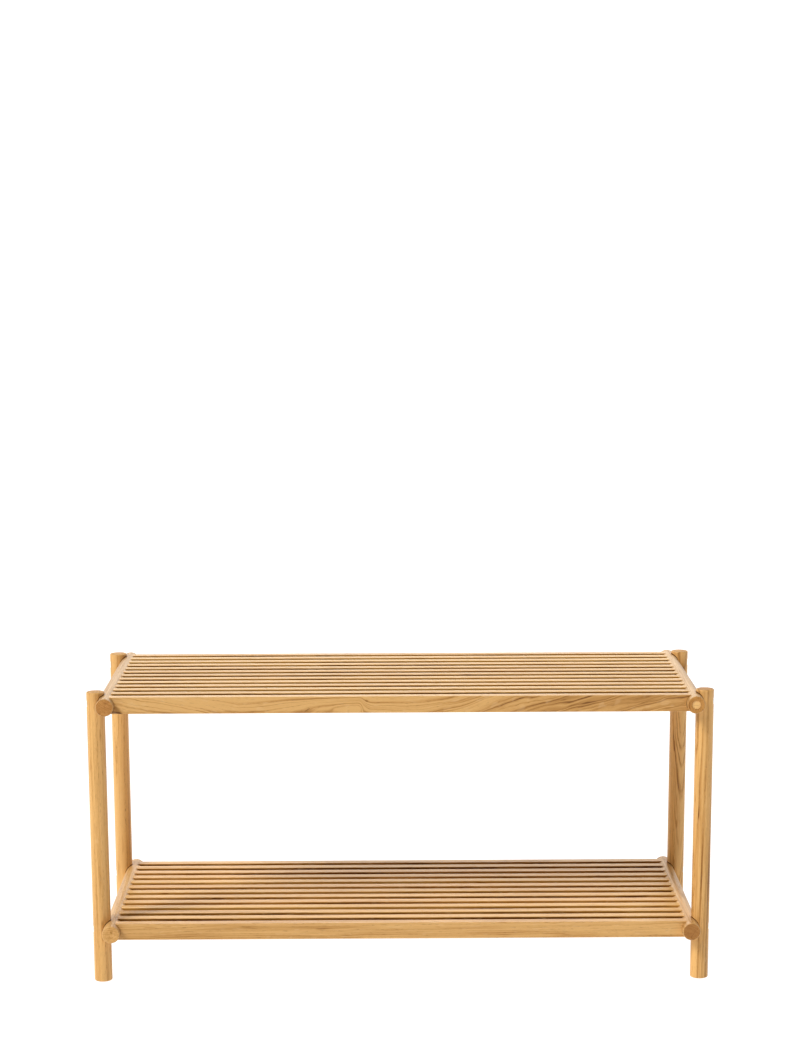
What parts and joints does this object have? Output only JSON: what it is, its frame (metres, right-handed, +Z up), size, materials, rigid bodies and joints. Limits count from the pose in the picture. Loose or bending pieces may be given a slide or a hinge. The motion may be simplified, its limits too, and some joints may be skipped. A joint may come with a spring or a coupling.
{
  "type": "entryway bench",
  "caption": "Free-standing slatted wooden entryway bench on round legs, with round end rails and a lower slatted shelf for shoes",
  "frame": {"origin": "on the floor, under the middle of the bench", "axes": "+X along the bench to its right-hand end seen from the front, the front is -Y, +Z up"},
  "size_m": [0.9, 0.39, 0.43],
  "materials": {
    "oak_leg": "matt oiled oak, grain along the leg",
    "oak_end_rail": "matt oiled oak, grain along the rail",
    "oak_long_rail": "matt oiled oak, flat-sawn grain along the rail",
    "oak_slat": "matt oiled oak, grain along the slat",
    "pale_plug": "sanded end-grain plug, oiled",
    "bolt_steel": "zinc-plated steel",
    "insert_brass": "plain brass"
  },
  "bodies": {
    "root": {"leg_front_left": "oak_leg", "leg_front_right": "oak_leg", "leg_rear_left": "oak_leg", "leg_rear_right": "oak_leg", "seat_end_rail_left": "oak_end_rail", "seat_end_rail_right": "oak_end_rail", "seat_front_rail": "oak_long_rail", "seat_rear_rail": "oak_long_rail", "seat_slat_01": "oak_slat", "seat_slat_02": "oak_slat", "seat_slat_03": "oak_slat", "seat_slat_04": "oak_slat", "seat_slat_05": "oak_slat", "seat_slat_06": "oak_slat", "seat_slat_07": "oak_slat", "seat_slat_08": "oak_slat", "seat_slat_09": "oak_slat", "seat_slat_10": "oak_slat", "seat_slat_11": "oak_slat", "shelf_end_rail_left": "oak_end_rail", "shelf_end_rail_right": "oak_end_rail", "shelf_front_rail": "oak_long_rail", "shelf_rear_rail": "oak_long_rail", "shelf_slat_01": "oak_slat", "shelf_slat_02": "oak_slat", "shelf_slat_03": "oak_slat", "shelf_slat_04": "oak_slat", "shelf_slat_05": "oak_slat", "shelf_slat_06": "oak_slat", "shelf_slat_07": "oak_slat", "shelf_slat_08": "oak_slat", "shelf_slat_09": "oak_slat", "shelf_slat_10": "oak_slat", "shelf_slat_11": "oak_slat", "end_rail_plug": "pale_plug", "leg_bolts": "bolt_steel", "threaded_inserts": "insert_brass"}
  },
  "joints": []
}
